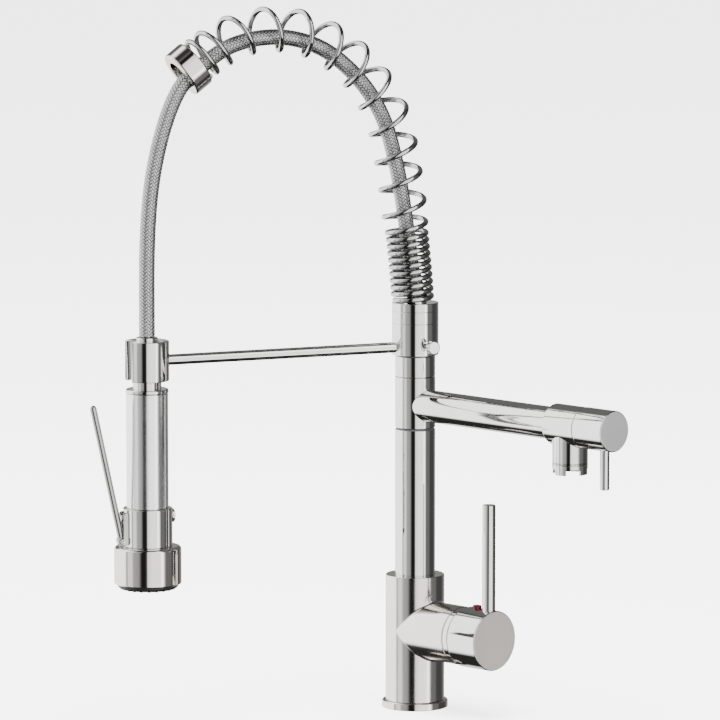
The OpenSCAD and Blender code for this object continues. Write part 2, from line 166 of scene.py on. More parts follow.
def shaded_in(t, colour, reach, deepest):
    """The colour with painted shade: darker in the narrow gaps between neighbouring turns or strands, where ambient
    occlusion finds close neighbours.
    """
    ao = t.nodes.new("ShaderNodeAmbientOcclusion")
    ao.samples = 8
    ao.inputs["Distance"].default_value = reach
    # painted shade: the occlusion ramp darkens the colour down to deepest in the gaps
    gap = ramp(t, ao.outputs["AO"], [(0.12, grey(deepest)), (0.78, grey(1.0))])
    mul = t.nodes.new("ShaderNodeMix")
    mul.data_type = "RGBA"
    mul.blend_type = "MULTIPLY"
    mul.inputs[0].default_value = 1.0
    t.links.new(colour, mul.inputs[6])
    t.links.new(gap.outputs[0], mul.inputs[7])
    return mul.outputs[2]


def metal(name, color, dark, rough, spread, brush=None, bump=0.0, gaps=None):
    """A metal whose roughness and colour wander a little, with fine wiping marks."""
    m, t, b = new_material(name)
    b.inputs["Metallic"].default_value = 1.0
    vec = scaled_coords(t, (1, 1, 1))
    big = noise(t, 38.0, 4.0, 0.6, vec)
    fine = noise(t, 620.0, 3.0, 0.55, vec)
    mix = t.nodes.new("ShaderNodeMath")
    mix.operation = "MULTIPLY_ADD"
    t.links.new(fine.outputs["Fac"], mix.inputs[0])
    mix.inputs[1].default_value = 0.45
    t.links.new(big.outputs["Fac"], mix.inputs[2])
    rr = ramp(t, mix.outputs[0], [(0.35, grey(max(0.02, rough - spread))), (0.95, grey(rough + spread))])
    t.links.new(rr.outputs[0], b.inputs["Roughness"])
    cr = ramp(t, big.outputs["Fac"], [(0.3, (*dark, 1)), (0.62, (*color, 1))])
    # with gaps given, the colour gets painted shade, darker between close neighbours
    t.links.new(shaded_in(t, cr.outputs[0], *gaps) if gaps else cr.outputs[0], b.inputs["Base Color"])
    if bump:
        src = fine.outputs["Fac"]
        if brush:
            src = noise(t, 1.0, 3.0, 0.6, scaled_coords(t, brush)).outputs["Fac"]
        bp = t.nodes.new("ShaderNodeBump")
        bp.inputs["Strength"].default_value = 0.25
        bp.inputs["Distance"].default_value = bump
        t.links.new(src, bp.inputs["Height"])
        t.links.new(bp.outputs[0], b.inputs["Normal"])
    return m


def plastic(name, color, dark, rough, bump=0.00002, scale=900.0, spec=0.5):
    m, t, b = new_material(name)
    vec = scaled_coords(t, (1, 1, 1))
    n1 = noise(t, 60.0, 3.0, 0.5, vec)
    n2 = noise(t, scale, 2.0, 0.6, vec)
    cr = ramp(t, n1.outputs["Fac"], [(0.3, (*dark, 1)), (0.7, (*color, 1))])
    t.links.new(cr.outputs[0], b.inputs["Base Color"])
    rr = ramp(t, n2.outputs["Fac"], [(0.25, grey(max(0.03, rough - 0.08))), (0.8, grey(rough + 0.08))])
    t.links.new(rr.outputs[0], b.inputs["Roughness"])
    b.inputs["Specular IOR Level"].default_value = spec
    bp = t.nodes.new("ShaderNodeBump")
    bp.inputs["Strength"].default_value = 0.4
    bp.inputs["Distance"].default_value = bump
    t.links.new(n2.outputs["Fac"], bp.inputs["Height"])
    t.links.new(bp.outputs[0], b.inputs["Normal"])
    return m


MAT = {
    "chrome": metal("polished_chrome", (0.80, 0.795, 0.785), (0.74, 0.73, 0.715), 0.045, 0.02),
    "chrome_warm": metal("polished_chrome_warm", (0.80, 0.765, 0.725), (0.74, 0.70, 0.66), 0.05, 0.02),
    "chrome_body": metal("polished_chrome_body", (0.83, 0.80, 0.765), (0.77, 0.74, 0.705), 0.12, 0.03),
    "satin": metal("satin_chrome", (0.98, 0.98, 0.975), (0.96, 0.96, 0.955), 0.20, 0.03, brush=(500, 500, 20), bump=0.000002),
    "face": metal("spun_face", (0.99, 0.935, 0.88), (0.97, 0.915, 0.86), 0.66, 0.03, brush=(20, 500, 500), bump=0.000003),
    "face_cool": metal("spun_face_cool", (0.97, 0.97, 0.965), (0.94, 0.94, 0.935), 0.62, 0.03, brush=(20, 500, 500), bump=0.000003),
    # the spring wire's colour carries painted shade between its close turns
    "spring": metal("spring_wire", (0.56, 0.56, 0.555), (0.48, 0.48, 0.475), 0.09, 0.03, gaps=(0.004, 0.02)),
    "rod": metal("polished_rod", (0.46, 0.455, 0.44), (0.38, 0.375, 0.36), 0.07, 0.03),
    "steel": metal("machined_steel", (0.60, 0.60, 0.59), (0.50, 0.50, 0.49), 0.24, 0.07, brush=(40, 900, 900), bump=0.00002),
    "brass": metal("machined_brass", (0.83, 0.64, 0.33), (0.66, 0.47, 0.21), 0.25, 0.07, brush=(300, 300, 1400), bump=0.00002),
    "rubber": plastic("black_rubber", (0.022, 0.022, 0.023), (0.011, 0.011, 0.012), 0.46, spec=0.45),
    "plastic": plastic("moulded_plastic", (0.70, 0.70, 0.68), (0.58, 0.58, 0.56), 0.42),
    "dark_plastic": plastic("grey_plastic", (0.16, 0.165, 0.17), (0.09, 0.09, 0.10), 0.40),
    "ceramic": plastic("lapped_ceramic", (0.86, 0.86, 0.84), (0.78, 0.78, 0.76), 0.15, bump=0.000004),
    "index": plastic("index_red", (0.11, 0.003, 0.016), (0.06, 0.002, 0.009), 0.16, bump=0.000004),
}


def braid_material():
    """Bright wire braid: the strands' own relief is in the mesh, and the single wires are here, along each strand. Its
    colour carries painted shade, darker deep in the weave and in the gaps between strands.
    """
    m, t, b = new_material("steel_braid")
    b.inputs["Metallic"].default_value = 1.0
    uv = t.nodes.new("ShaderNodeUVMap")
    uv.uv_map = "strand"
    sep = t.nodes.new("ShaderNodeSeparateXYZ")
    t.links.new(uv.outputs[0], sep.inputs[0])
    # across the strand runs from -1 to 1 in U; V tells how deep the point lies
    k = t.nodes.new("ShaderNodeMath")
    k.operation = "MULTIPLY"
    t.links.new(sep.outputs[0], k.inputs[0])
    k.inputs[1].default_value = math.pi * 5
    s = t.nodes.new("ShaderNodeMath")
    s.operation = "COSINE"
    t.links.new(k.outputs[0], s.inputs[0])
    a = t.nodes.new("ShaderNodeMath")
    a.operation = "ABSOLUTE"
    t.links.new(s.outputs[0], a.inputs[0])
    rr = ramp(t, a.outputs[0], [(0.0, grey(0.36)), (1.0, grey(0.16))])
    t.links.new(rr.outputs[0], b.inputs["Roughness"])
    n = noise(t, 260.0, 2.0, 0.5, scaled_coords(t, (1, 1, 1)))
    vary = ramp(t, n.outputs["Fac"], [(0.3, grey(0.66)), (0.7, grey(0.74))])
    # painted shade: the colour darkens towards the bottom of the weave, where the strands lie deep
    deep = ramp(t, sep.outputs[1], [(0.3, grey(0.01)), (0.7, grey(0.28)), (0.94, grey(1.0))])
    mul = t.nodes.new("ShaderNodeMix")
    mul.data_type = "RGBA"
    mul.blend_type = "MULTIPLY"
    mul.inputs[0].default_value = 1.0
    t.links.new(vary.outputs[0], mul.inputs[6])
    t.links.new(deep.outputs[0], mul.inputs[7])
    # more painted shade: occlusion darkens the colour between strands
    t.links.new(shaded_in(t, mul.outputs[2], 0.005, 0.04), b.inputs["Base Color"])
    bp = t.nodes.new("ShaderNodeBump")
    bp.inputs["Strength"].default_value = 0.5
    bp.inputs["Distance"].default_value = 0.00008
    t.links.new(a.outputs[0], bp.inputs["Height"])
    t.links.new(bp.outputs[0], b.inputs["Normal"])
    return m


MAT["braid"] = braid_material()

# CAD nodes that stay: inner pieces, with a node material each
KEEP = {
    "plastic": ["mixer_cartridge", "lever_carrier", "swivel_washers", "spray_core_tube", "spray_diffuser"],
    "ceramic": ["fixed_ceramic_disc", "turning_ceramic_disc"],
    "brass": ["cartridge_nut", "riser_spindle", "spindle_nut", "spout_valve_cartridge"],
    "steel": ["lever_pin", "mixer_stem", "handle_set_screw", "spout_valve_stem", "shank_steel_washer", "lower_hose_ferrule"],
    "rubber": ["spindle_seals", "deck_gasket", "shank_rubber_washer"],
}
for key, names in KEEP.items():
    for n in names:
        o = frame["nodes"][n]
        o.data.materials.clear()
        o.data.materials.append(MAT[key])
        for p in o.data.polygons:
            p.use_smooth = False


spindle = frame["nodes"]["riser_spindle"]
spindle.data.materials.append(MAT["dark_plastic"])
for p in spindle.data.polygons:
    c = p.center
    if c.z > 0.2095 and math.hypot(c.x, c.y) > 0.0115 and c.z < 0.212:
        p.material_index = 1
for n in ("swivel_washers",):
    frame["nodes"][n].data.materials.clear()
    frame["nodes"][n].data.materials.append(MAT["dark_plastic"])


# ------------------------------------------------------------------ mesh tools
def finish_piece(name, verts, faces, loop_normals, mat, body, replaced=(), uv=None):
    me = bpy.data.meshes.new(name)
    me.from_pydata([tuple(v) for v in verts], [], faces)
    me.validate(clean_customdata=False)
    for p in me.polygons:
        p.use_smooth = True
    if uv is not None:
        layer = me.uv_layers.new(name="strand")
        layer.data.foreach_set("uv", np.asarray(uv, np.float32).ravel())
    if loop_normals is not None and len(loop_normals) == len(me.loops):
        me.normals_split_custom_set([tuple(n) for n in loop_normals])
    me.materials.append(mat)
    o = bpy.data.objects.new(name, me)
    bpy.context.scene.collection.objects.link(o)
    if body:
        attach(o, body)
    if replaced:
        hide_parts(*replaced)
    return o


def outline(corners, arc=7):
    """Closed outline in (r, z), counter-clockwise. A corner is (r, z) or (r, z, fillet radius). Returns the edges with the normal at each end."""
    n = len(corners)
    pts = []  # (point, normal before, normal after)
    for i in range(n):
        p0, p1, p2 = corners[i - 1], corners[i], corners[(i + 1) % n]
        a = np.array(p1[:2], float)
        d0 = a - np.array(p0[:2], float)
        d1 = np.array(p2[:2], float) - a
        l0, l1 = np.linalg.norm(d0), np.linalg.norm(d1)
        d0, d1 = d0 / l0, d1 / l1
        n0, n1 = np.array([d0[1], -d0[0]]), np.array([d1[1], -d1[0]])
        f = p1[2] if len(p1) > 2 else 0
        turn = math.atan2(d0[0] * d1[1] - d0[1] * d1[0], float(d0 @ d1))
        if not f or abs(turn) < 1e-3:
            pts.append((a, n0, n1))
            continue
        cut = f * math.tan(abs(turn) / 2)
        s = a - d0 * cut
        side = 1 if turn > 0 else -1
        centre = s - n0 * f * side
        steps = max(2, int(round(arc * abs(turn) / (math.pi / 2))))
        for k in range(steps + 1):
            w = turn * k / steps
            c, q = math.cos(w), math.sin(w)
            nn = np.array([n0[0] * c - n0[1] * q, n0[0] * q + n0[1] * c])
            pts.append((centre + nn * f * side, nn, nn))
    edges = []
    m = len(pts)
    for i in range(m):
        a, b = pts[i], pts[(i + 1) % m]
        if np.linalg.norm(a[0] - b[0]) > 1e-7:
            edges.append((a[0], b[0], a[2], b[1]))
    return edges


class Builder:
    """Gathers vertices, faces and loop normals in metres; several shells may go in one piece."""

    def __init__(self):
        self.v, self.f, self.n = [], [], []

    def add(self, verts, faces, normals):
        k = len(self.v)
        self.v.extend(verts)
        self.f.extend([tuple(i + k for i in f) for f in faces])
        self.n.extend(normals)

    def lathe(self, corners, M=Matrix.Identity(4), segs=144, arc=7):
        """Turns the outline about local Z. Sizes in millimetres."""
        edges = outline(corners, arc)
        R = M.to_3x3()
        keys, verts = {}, []

        def ring(p):
            k = (round(p[0], 5), round(p[1], 5))
            if k not in keys:
                keys[k] = len(verts)
                if p[0] < 1e-6:
                    verts.append(M @ Vector((0, 0, p[1] * MM)))
                else:
                    for j in range(segs):
                        w = TAU * j / segs
                        verts.append(M @ Vector((p[0] * math.cos(w) * MM, p[0] * math.sin(w) * MM, p[1] * MM)))
            return keys[k], p[0] < 1e-6

        faces, normals = [], []
        cs = [(math.cos(TAU * j / segs), math.sin(TAU * j / segs)) for j in range(segs)]
        for a, b, na, nb in edges:
            (ia, pa), (ib, pb) = ring(a), ring(b)
            if pa and pb:
                continue
            wa = [R @ Vector((na[0] * c, na[0] * s, na[1])) for c, s in cs]
            wb = [R @ Vector((nb[0] * c, nb[0] * s, nb[1])) for c, s in cs]
            for j in range(segs):
                k = (j + 1) % segs
                if pa:
                    faces.append((ia, ib + k, ib + j))
                    normals += [wa[j], wb[k], wb[j]]
                elif pb:
                    faces.append((ia + j, ia + k, ib))
                    normals += [wa[j], wa[k], wb[j]]
                else:
                    faces.append((ia + j, ia + k, ib + k, ib + j))
                    normals += [wa[j], wa[k], wb[k], wb[j]]
        self.add(verts, faces, normals)
        return self

    def grid(self, rows, row_normals, closed=True, caps=True):
        """Skin over rows of points (metres), each row a closed loop, with a normal for each point."""
        n = len(rows[0])
        verts = [Vector(p) for r in rows for p in r]
        nr = [Vector(p) for r in row_normals for p in r]
        faces, normals = [], []
        for i in range(len(rows) - 1):
            for j in range(n if closed else n - 1):
                k = (j + 1) % n
                q = (i * n + j, i * n + k, (i + 1) * n + k, (i + 1) * n + j)
                faces.append(q)
                normals += [nr[x] for x in q]
        if caps:
            for row, flip in ((0, True), (len(rows) - 1, False)):
                ids = [row * n + j for j in range(n)]
                c = sum((verts[i] for i in ids), Vector()) / n
                x = (verts[ids[n // 3]] - verts[ids[0]]).cross(verts[ids[2 * n // 3]] - verts[ids[0]]).normalized()
                if flip:
                    ids, x = ids[::-1], -x
                faces.append(tuple(ids))
                normals += [x] * n
        self.add(verts, faces, normals)
        return self

    def make(self, name, mat, body, slot, replaced=()):
        return finish_piece(name, self.v, self.f, self.n, mat, body, replaced)


def face_finish(o, mat, plane, radius, centre):
    """Gives the flat end at x = plane its own finish, inside that radius. Sizes in millimetres."""
    o.data.materials.append(mat)
    for p in o.data.polygons:
        c = p.center
        if c.x > (plane - 0.01) * MM and math.hypot(c.y, c.z - centre * MM) < radius * MM:
            p.material_index = 1


def lathe(name, corners, mat, body, slot, replaced=(), M=Matrix.Identity(4), segs=144, arc=7):
    return Builder().lathe(corners, M, segs, arc).make(name, mat, body, slot, replaced)


def tube_end(r0, r1, z0, z1, f0, f1, inner=0.25):
    """Ring or disc outline with outer fillets f0 (low) and f1 (high)."""
    if r0 <= 0:
        return [(0, z0), (r1, z0, f0), (r1, z1, f1), (0, z1)]
    return [(r0, z0, inner), (r1, z0, f0), (r1, z1, f1), (r0, z1, inner)]


def saddle(b, R1, R2, rho, reach, M, start=None, segs=192, arcn=8):
    """Branch of radius R2 along local Z, which grows out of a cylinder of radius R1 about local X at Z = 0, up to Z = reach. A fillet of radius rho runs round the joint, and then the skin goes on inside the cylinder. Local X is the main cylinder's axis."""
    rows, nrm = [], []
    deep = -0.3
    prof = []
    for j in range(segs):
        w = TAU * j / segs
        cx, cy = math.cos(w), math.sin(w)  # branch circle: x along the main axis, y across it
        y = min((R2 + rho) * cy, R1 + rho) if cy > 0 else max((R2 + rho) * cy, -(R1 + rho))
        h = math.sqrt(max((R1 + rho) ** 2 - y * y, 0))
        c = np.array([(R2 + rho) * cx, y, h])
        # directions from the fillet's centre to the two surfaces it touches
        to_branch = np.array([-cx, -cy, 0.0])
        to_main = np.array([0.0, -y / (R1 + rho), -h / (R1 + rho)])
        prof.append((cx, cy, c, to_branch, to_main))
    n_out = 6
    for i in range(n_out):
        f = i / n_out
        row, nr = [], []
        for cx, cy, c, tb, tm in prof:
            top = c[2]
            row.append((R2 * cx, R2 * cy, reach + (top - reach) * f))
            nr.append((cx, cy, 0))
        rows.append(row)
        nrm.append(nr)
    for i in range(arcn + 1):
        f = i / arcn
        row, nr = [], []
        for cx, cy, c, tb, tm in prof:
            d = float(np.clip(tb @ tm, -1, 1))
            w = math.acos(d)
            if w < 1e-4:
                v = tb
            else:
                v = (math.sin((1 - f) * w) * tb + math.sin(f * w) * tm) / math.sin(w)
            p = c + rho * v
            row.append(tuple(p))
            nr.append(tuple(-v))
        rows.append(row)
        nrm.append(nr)
    # the skin goes on inside
    row, nr = [], []
    for cx, cy, c, tb, tm in prof:
        row.append((R2 * 0.8 * cx, R2 * 0.8 * cy, max(0.0, c[2] - R1 * 0.45)))
        nr.append((cx, cy, 0))
    rows.append(row)
    nrm.append(nr)
    R3 = M.to_3x3()
    rows = [[M @ Vector((x * MM, y * MM, z * MM)) for x, y, z in r] for r in rows]
    nrm = [[(R3 @ Vector(x)).normalized() for x in r] for r in nrm]
    # rows run inwards, so the loop is turned round for outward faces
    rows = [r[::-1] for r in rows]
    nrm = [r[::-1] for r in nrm]
    b.grid(rows, nrm)
    return b


def frames_along(points):
    """Turning-free frames along a line."""
    p = np.asarray(points, float)
    t = np.gradient(p, axis=0)
    t /= np.linalg.norm(t, axis=1)[:, None]
    u = np.zeros_like(p)
    a = np.cross(t[0], [0.3, 0.5, 0.81])
    u[0] = a / np.linalg.norm(a)
    for i in range(1, len(p)):
        v = u[i - 1] - t[i] * (u[i - 1] @ t[i])
        u[i] = v / np.linalg.norm(v)
    return t, u, np.cross(t, u)


def catmull(points, per):
    p = np.asarray(points, float)
    q = np.vstack([2 * p[0] - p[1], p, 2 * p[-1] - p[-2]])
    out = []
    for k in range(1, len(q) - 2):
        a, b, c, d = q[k - 1], q[k], q[k + 1], q[k + 2]
        for i in range(per):
            f = i / per
            out.append(0.5 * (2 * b + (c - a) * f + (2 * a - 5 * b + 4 * c - d) * f * f + (3 * b - a - 3 * c + d) * f ** 3))
    out.append(p[-1])
    return np.array(out)


def lengths(p):
    return np.concatenate([[0], np.cumsum(np.linalg.norm(np.diff(p, axis=0), axis=1))])


def odd(name, verts, faces, mat, body, replaced=(), angle=32):
    """Piece whose smooth and sharp edges follow from the angle between its faces."""
    o = finish_piece(name, verts, faces, None, mat, body, replaced)
    o.data.set_sharp_from_angle(angle=math.radians(angle))
    return o


def skin(rows, closed=True, flip=False):
    """Vertices and faces over rows of points, with an n-gon at each end."""
    n = len(rows[0])
    verts = [v for r in rows for v in r]
    faces = []
    for i in range(len(rows) - 1):
        for j in range(n):
            k = (j + 1) % n
            q = (i * n + j, i * n + k, (i + 1) * n + k, (i + 1) * n + j)
            faces.append(q[::-1] if flip else q)
    a = tuple(range(n))
    b = tuple(range((len(rows) - 1) * n, len(rows) * n))
    faces += [a, b[::-1]] if flip else [a[::-1], b]
    return verts, faces


# ================================================================== hose: the one loose line of the object
# route of its centre, [distance from the riser axis, height], as the CAD has it
ROUTE = [[0, 316.6], [0.2, 320], [2.5, 328], [4.5, 341], [7, 360], [10, 379.5], [13.5, 399.5], [18, 418.5], [23.5, 437.5],
         [32, 455], [43, 470.5], [56.5, 484], [72, 495.5], [89.5, 503], [108, 506.5], [127, 506], [145, 502],
         [158, 495.5], [167.5, 489], [175.9, 482.7], [182, 477.5], [187.5, 470.5], [192.5, 461.5], [196.5, 452],
         [201, 439], [205, 424], [208.5, 407], [211, 388], [212.5, 368], [213.3, 346], [213.5, 325], [213.5, 307],
         [213.5, 290]]
HOSE_R = 5.75


def hose():
    fine = catmull(ROUTE, 40)
    # light smoothing, so that the curve has no quick changes of bend
    for _ in range(260):
        fine[1:-1] += 0.5 * (0.5 * (fine[:-2] + fine[2:]) - fine[1:-1])
    s = lengths(fine)
    total = s[-1]
    step = 0.36
    rings = int(total / step)
    t = np.linspace(0, total, rings + 1)
    rz = np.stack([np.interp(t, s, fine[:, 0]), np.interp(t, s, fine[:, 1])], 1)
    d = np.gradient(rz, axis=0)
    d /= np.linalg.norm(d, axis=1)[:, None]
    around = 112
    strands, period = 16, 2.6
    th = np.arange(around) / around * TAU
    u = strands * th[None] / TAU + t[:, None] / period
    v = strands * th[None] / TAU - t[:, None] / period
    i, j = np.floor(u), np.floor(v)
    xa, xb = 2 * (u - i) - 1, 2 * (v - j) - 1
    ha = 0.5 + 0.5 * np.cos(math.pi / 2 * (np.mod(i + v, 4) - 1))
    hb = 0.5 - 0.5 * np.cos(math.pi / 2 * (np.mod(u + j, 4) - 1))
    za = 0.30 * ha + 0.34 * np.sqrt(np.clip(1 - xa ** 2, 0, 1))
    zb = 0.30 * hb + 0.34 * np.sqrt(np.clip(1 - xb ** 2, 0, 1))
    top = np.maximum(za, zb)
    x = np.where(za > zb, xa, xb)
    r = HOSE_R - 0.46 + top
    # normal across the bend and the plane's own normal, in arm coordinates
    side = np.stack([-d[:, 1], d[:, 0]], 1)  # in (R, z)
    c, q = np.cos(th), np.sin(th)
    R = rz[:, 0][:, None] + r * c[None] * side[:, 0][:, None]
    Z = rz[:, 1][:, None] + r * c[None] * side[:, 1][:, None]
    Y = r * q[None]
    ca, sa = math.cos(ARM), math.sin(ARM)
    P = np.stack([R * ca - Y * sa, R * sa + Y * ca, Z], 2) * MM
    verts = P.reshape(-1, 3)
    n = around
    ii = np.arange(rings)[:, None]
    jj = np.arange(n)[None]
    kk = (jj + 1) % n
    F = np.stack([ii * n + jj, (ii + 1) * n + jj, (ii + 1) * n + kk, ii * n + kk], 2).reshape(-1, 4)
    # faces look outwards
    a, b, e = verts[F[0][0]], verts[F[0][1]], verts[F[0][2]]
    centre = P[0].mean(0)
    if np.dot(np.cross(b - a, e - a), a - centre) < 0:
        F = F[:, ::-1]
    faces = [tuple(int(w) for w in f) for f in F]
    flat_u = x.reshape(-1)
    # V: how high the point lies in the weave, which the braid material turns into painted shade in the recesses
    flat_v = (top / 0.64).reshape(-1)
    faces.append(tuple(range(n)))
    faces.append(tuple(range(rings * n + n - 1, rings * n - 1, -1)))
    me_uv = np.array([[flat_u[w], flat_v[w]] for f in faces for w in f])
    o = finish_piece("braided_hose", verts, faces, None, MAT["braid"], None,
                     ("hose_in_spring", "hose_to_spray"), uv=me_uv)
    return o


the_hose = hose()
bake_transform(the_hose)

# ================================================================== base
lathe("deck_flange", tube_end(14.65, FLANGE_R, 0.02, 5.5, 0.5, 1.1), MAT["chrome_warm"], "base", "chrome", ["base_flange"], segs=192)

b = Builder()
b.lathe([(14.2, 5.6), (BODY_R, 5.6, 0.45), (BODY_R, BODY_TOP, 0.7), (13.6, BODY_TOP), (13.6, BODY_TOP - 10), (14.2, BODY_TOP - 12)], segs=192)
BOSS_R = 21.9
BRANCH_X = Matrix(((0, 0, 1, 0), (0, -1, 0, 0), (1, 0, 0, 0), (0, 0, 0, 1)))
saddle(b, BODY_R, BOSS_R, 1.8, BOSS_END - 0.6, Matrix.Translation((0, 0, BOSS_Z * MM)) @ BRANCH_X)
b.lathe([(19.3, BOSS_END - 4), (BOSS_R, BOSS_END - 0.7), (BOSS_R, BOSS_END, 0.55), (19.3, BOSS_END)], along_x(BOSS_Z), segs=192)
b.make("base_body_shell", MAT["chrome_body"], "base", "chrome", ["base_body"])

lathe("bonnet_ring_shell", tube_end(15.4, 21.2, BOSS_END + 0.05, CAP_X0 - 1.6, 0.4, 0.5), MAT["chrome"], "base", "chrome", ["bonnet_ring"], M=along_x(BOSS_Z), segs=160)

# shank with its thread, and the nut
rows = []
for k in range(249):
    z = -62 + 82 * k / 248
    row = []
    for j in range(96):
        w = TAU * j / 96
        f = (z / 1.5 - j / 96) % 1
        depth = 0.75 * abs(2 * f - 1)
        depth = min(max(depth - 0.08, 0), 0.6)
        if z > 0.5 and z < 5.4:
            depth = 0.0
        if z < -61.2:
            depth = 0.6
        r = 13.95 - depth
        row.append((r * math.cos(w) * MM, r * math.sin(w) * MM, z * MM))
    rows.append(row)
for z in (20, -62):
    rows.append([(11.6 * math.cos(TAU * j / 96) * MM, 11.6 * math.sin(TAU * j / 96) * MM, z * MM) for j in range(96)])
n = 96
verts = [v for r in rows for v in r]
faces = []
for i in range(len(rows)):
    i2 = (i + 1) % len(rows)
    for j in range(n):
        k = (j + 1) % n
        faces.append((i * n + j, i * n + k, i2 * n + k, i2 * n + j))
odd("threaded_shank", verts, faces, MAT["brass"], "base", ["mounting_shank"], angle=40)


def hex_nut(name, r_corner, z0, z1, bore, chamfer, mat, body, replaced):
    """Hexagon nut with both faces turned down to a cone at the corners."""
    across = r_corner * math.cos(math.pi / 6)
    rows = []
    n = 144
    levels = [(z0, 0.0), (z0 + chamfer * 0.25, 0.25), (z0 + chamfer * 0.5, 0.5), (z0 + chamfer, 1.0), (z0 + chamfer * 1.5, 1.5),
              (z1 - chamfer * 1.5, 1.5), (z1 - chamfer, 1.0), (z1 - chamfer * 0.5, 0.5), (z1 - chamfer * 0.25, 0.25), (z1, 0.0)]
    for z, up in levels:
        cone = across - 0.25 + up * (r_corner - across + 0.4) * 0.9
        row = []
        for j in range(n):
            w = TAU * j / n
            m = ((w + math.pi / 6) % (math.pi / 3)) - math.pi / 6
            # corners at 0, 60, ... as in the CAD
            h = across / math.cos(((w) % (math.pi / 3)) - math.pi / 6)
            r = min(h, cone)
            row.append((r * math.cos(w) * MM, r * math.sin(w) * MM, z * MM))
        rows.append(row)
    for z in (z1, z0):
        rows.append([(bore * math.cos(TAU * j / n) * MM, bore * math.sin(TAU * j / n) * MM, z * MM) for j in range(n)])
    verts = [v for r in rows for v in r]
    faces = []
    for i in range(len(rows)):
        i2 = (i + 1) % len(rows)
        for j in range(n):
            k = (j + 1) % n
            faces.append((i * n + j, i * n + k, i2 * n + k, i2 * n + j))
    return odd(name, verts, faces, mat, body, replaced, angle=24)


hex_nut("shank_nut", 22.5, -45, -35, 13.99, 1.4, MAT["brass"], "base", ["mounting_nut"])
# the deck stands between these and everything that could mirror them
for n_ in ("threaded_shank", "shank_nut"):
    bpy.data.objects[n_].visible_glossy = False
for n_ in ("shank_rubber_washer", "shank_steel_washer"):
    frame["nodes"][n_].visible_glossy = False

# ================================================================== handle
cap = lathe("handle_cap_shell", [(0, 65.5), (11, 65.5, 0.4), (11, 71, 0.6), (CAP_R - 1.2, 71, 0.6), (CAP_R - 1.2, CAP_X0, 0.2), (CAP_R, CAP_X0, 0.4),
                           (CAP_R, CAP_END, 0.75), (0, CAP_END)], MAT["chrome"], "handle", "chrome", ["handle_cap"], M=along_x(BOSS_Z), segs=192)
face_finish(cap, MAT["face"], CAP_END, CAP_R - 0.7, BOSS_Z)
LEVER_X, LEVER_R = 76.6, 4.9
LEVER_TOP = mm("handle_lever")[1][2]
lathe("lever_rod", [(0, BOSS_Z + 10), (LEVER_R, BOSS_Z + 10), (LEVER_R, LEVER_TOP, 0.8), (0, LEVER_TOP)], MAT["chrome"], "handle", "chrome",
      ["handle_lever"], M=Matrix.Translation((LEVER_X * MM, 0, 0)), segs=96)
z = BOSS_Z + CAP_R
dome = [(0, z - 1.4), (3.4, z - 1.4), (3.4, z + 2.2, 0.6)] + [(2.7 * math.cos(a), z + 2.2 + 0.35 * math.sin(a)) for a in [math.pi / 2 * k / 10 for k in range(1, 10)]] + [(0, z + 2.55)]
lathe("red_index", dome, MAT["index"], "handle", "index_red", ["handle_index"], M=Matrix.Translation((0.0645, 0, 0)), segs=72)

# ================================================================== riser
lathe("riser_pipe", [(11.5, 88), (13.45, 88), (13.45, BODY_TOP + 0.05), (RISER_R, BODY_TOP + 0.05), (RISER_R, RISER_TOP, 0.35), (11.5, RISER_TOP)],
      MAT["chrome"], "base", "chrome", ["riser_tube"], segs=192)
lo, hi = mm("middle_ring")
lathe("middle_ring_shell", tube_end(11.02, 14.9, lo[2], hi[2], 0.45, 0.45), MAT["chrome"], "base", "chrome", ["middle_ring"], segs=192)

# ================================================================== side spout
lo, hi = mm("spout_collar")
b = Builder()
lathe("spout_collar_shell", tube_end(11.06, RISER_R, lo[2], hi[2], 0.45, 0.45), MAT["chrome"], "side_spout", "chrome", ["spout_collar"], segs=192)
b = Builder()
saddle(b, RISER_R, 12.0, 0.55, 143.7, Matrix.Translation((0, 0, SPOUT_Z * MM)) @ BRANCH_X)
b.make("spout_pipe", MAT["chrome"], "side_spout", "chrome", ["spout_tube"])
b = Builder()
b.lathe(tube_end(10.5, 15.0, 143.75, 173.6, 0.7, 0.45), along_x(SPOUT_Z), segs=192)
b.make("valve_body_shell", MAT["chrome"], "side_spout", "chrome", ["spout_valve_body"])
BRANCH_DOWN = Matrix(((1, 0, 0, 0), (0, -1, 0, 0), (0, 0, -1, 0), (0, 0, 0, 1)))
b = Builder()
saddle(b, 15.0, 13.1, 0.5, 27.85, Matrix.Translation((0.1585, 0, SPOUT_Z * MM)) @ BRANCH_DOWN)
b.lathe([(10.8, -28.0), (13.1 - 0.3, -28.0, 0.1), (13.1, -27.7, 0.1), (13.1, -26.4), (10.8, -26.4)], Matrix.Translation((0.1585, 0, SPOUT_Z * MM)), segs=192)
b.make("outlet_shell", MAT["chrome"], "side_spout", "chrome", ["spout_outlet"])

